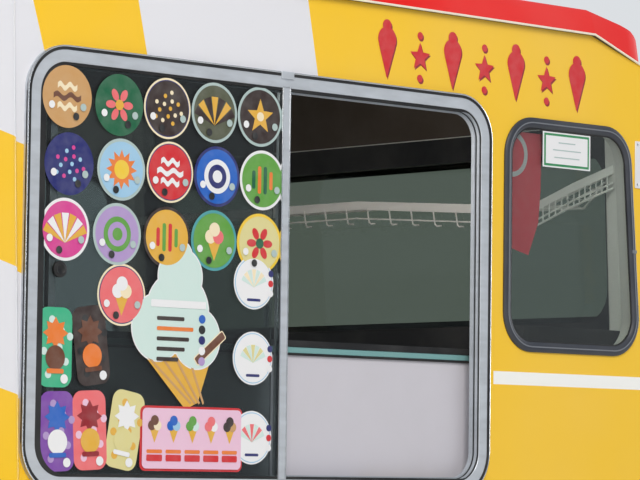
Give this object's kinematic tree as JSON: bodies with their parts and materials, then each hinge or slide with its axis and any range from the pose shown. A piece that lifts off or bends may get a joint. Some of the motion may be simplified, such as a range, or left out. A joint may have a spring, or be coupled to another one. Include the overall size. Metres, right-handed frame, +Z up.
{
  "type": "ice cream truck",
  "caption": "Panel-built ice cream vending truck on a short-bonnet van cab, with a wide serving hatch, rubber-set windows, a domed roof crown and opening doors and bonnet.",
  "frame": {"origin": "on the ground under the middle of the vehicle's length and width", "axes": "+X to the rear of the vehicle, -Y to the serving (nearside) side, +Z up"},
  "size_m": [5.21, 2.47, 3.035],
  "materials": {
    "black_plastic": "textured black polypropylene",
    "white_paint": "gloss white paint with yellow stripes",
    "yellow_paint": "gloss yellow paint with white areas",
    "red_paint": "gloss red gelcoat",
    "chassis_steel": "black chassis paint",
    "dark_trim": "grained dark plastic",
    "tinted_glass": "clear toughened glass",
    "hatch_glass": "clear sliding pane glass",
    "cast_iron": "rough casting",
    "exhaust_steel": "dull heat-stained steel",
    "floor_covering": "grey studded floor sheet",
    "bumper_plastic": "dark grey moulded plastic",
    "hatch_aluminium": "satin anodised extrusion",
    "lamp_lens": "clear ribbed lens",
    "tail_lens": "red and amber lens",
    "stainless": "brushed stainless sheet",
    "wheel_silver": "silver painted pressed steel",
    "cone_moulding": "glass fibre moulding, wafer brown and cream",
    "seat_fabric": "woven dark cloth",
    "counter_laminate": "pale grey laminate",
    "tyre_rubber": "black tyre rubber",
    "seal_rubber": "dark rubber with a bright filler strip",
    "shelf_wire": "white coated wire"
  },
  "bodies": {
    "body": {"arch_liners": "black_plastic", "cab_shell": "white_paint", "chassis_rails": "chassis_steel", "crossmembers": "chassis_steel", "dashboard": "dark_trim", "driveline": "cast_iron", "engine_block": "cast_iron", "exhaust": "exhaust_steel", "fixed_glass": "tinted_glass", "floor": "floor_covering", "forward_panels": "white_paint", "front_axle": "chassis_steel", "front_bumper": "bumper_plastic", "front_wings": "white_paint", "fuel_tank": "black_plastic", "grille": "bumper_plastic", "hatch_frame": "hatch_aluminium", "hatch_glass": "hatch_glass", "headlamps": "lamp_lens", "ice_machine": "stainless", "rear_axle": "chassis_steel", "rear_bumper": "bumper_plastic", "rear_lamps": "tail_lens", "rear_wall": "yellow_paint", "roof_cone": "cone_moulding", "roof_crown": "red_paint", "seats": "seat_fabric", "serving_counter": "counter_laminate", "side_wall_near": "yellow_paint", "side_wall_off": "yellow_paint", "steering_wheel": "dark_trim", "storage_cabinets": "counter_laminate", "window_seals": "seal_rubber", "wire_shelf": "shelf_wire"},
    "near_door": {"door_near": "white_paint", "door_glass_near": "tinted_glass", "mirror_near": "bumper_plastic"},
    "off_door": {"door_off": "white_paint", "door_glass_off": "tinted_glass", "mirror_off": "bumper_plastic"},
    "bonnet_lid": {"bonnet": "white_paint"},
    "near_knuckle": {"knuckle_near": "cast_iron"},
    "off_knuckle": {"knuckle_off": "cast_iron"},
    "front_near_wheel": {"rim_front_near": "wheel_silver", "tyre_front_near": "tyre_rubber"},
    "front_off_wheel": {"rim_front_off": "wheel_silver", "tyre_front_off": "tyre_rubber"},
    "rear_near_wheel": {"rim_rear_near": "wheel_silver", "tyre_rear_near": "tyre_rubber"},
    "rear_off_wheel": {"rim_rear_off": "wheel_silver", "tyre_rear_off": "tyre_rubber"}
  },
  "joints": [
    {"name": "near_steer", "type": "hinge", "parent": "body", "child": "near_knuckle", "pos_m": [-1.65, -0.76, 0.34], "axis": [0, 0, 1], "range_deg": [-32, 32]},
    {"name": "off_steer", "type": "hinge", "parent": "body", "child": "off_knuckle", "pos_m": [-1.65, 0.76, 0.34], "axis": [0, 0, 1], "range_deg": [-32, 32]},
    {"name": "front_near_roll", "type": "hinge", "parent": "near_knuckle", "child": "front_near_wheel", "pos_m": [-1.65, -0.87, 0.34], "axis": [0, 1, 0], "continuous": true},
    {"name": "front_off_roll", "type": "hinge", "parent": "off_knuckle", "child": "front_off_wheel", "pos_m": [-1.65, 0.87, 0.34], "axis": [0, 1, 0], "continuous": true},
    {"name": "rear_near_roll", "type": "hinge", "parent": "body", "child": "rear_near_wheel", "pos_m": [1.6, -0.87, 0.34], "axis": [0, 1, 0], "continuous": true},
    {"name": "rear_off_roll", "type": "hinge", "parent": "body", "child": "rear_off_wheel", "pos_m": [1.6, 0.87, 0.34], "axis": [0, 1, 0], "continuous": true},
    {"name": "near_door_hinge", "type": "hinge", "parent": "body", "child": "near_door", "pos_m": [-1.566, -0.985, 0.9], "axis": [0, 0, -1], "range_deg": [0, 65]},
    {"name": "off_door_hinge", "type": "hinge", "parent": "body", "child": "off_door", "pos_m": [-1.566, 0.985, 0.9], "axis": [0, 0, 1], "range_deg": [0, 65]},
    {"name": "bonnet_hinge", "type": "hinge", "parent": "body", "child": "bonnet_lid", "pos_m": [-2.075, 0, 1.14279], "axis": [0, 1, 0], "range_deg": [0, 55]}
  ],
  "couplings": [
    {"joint": "off_steer", "follows": "near_steer", "ratio": 1}
  ]
}
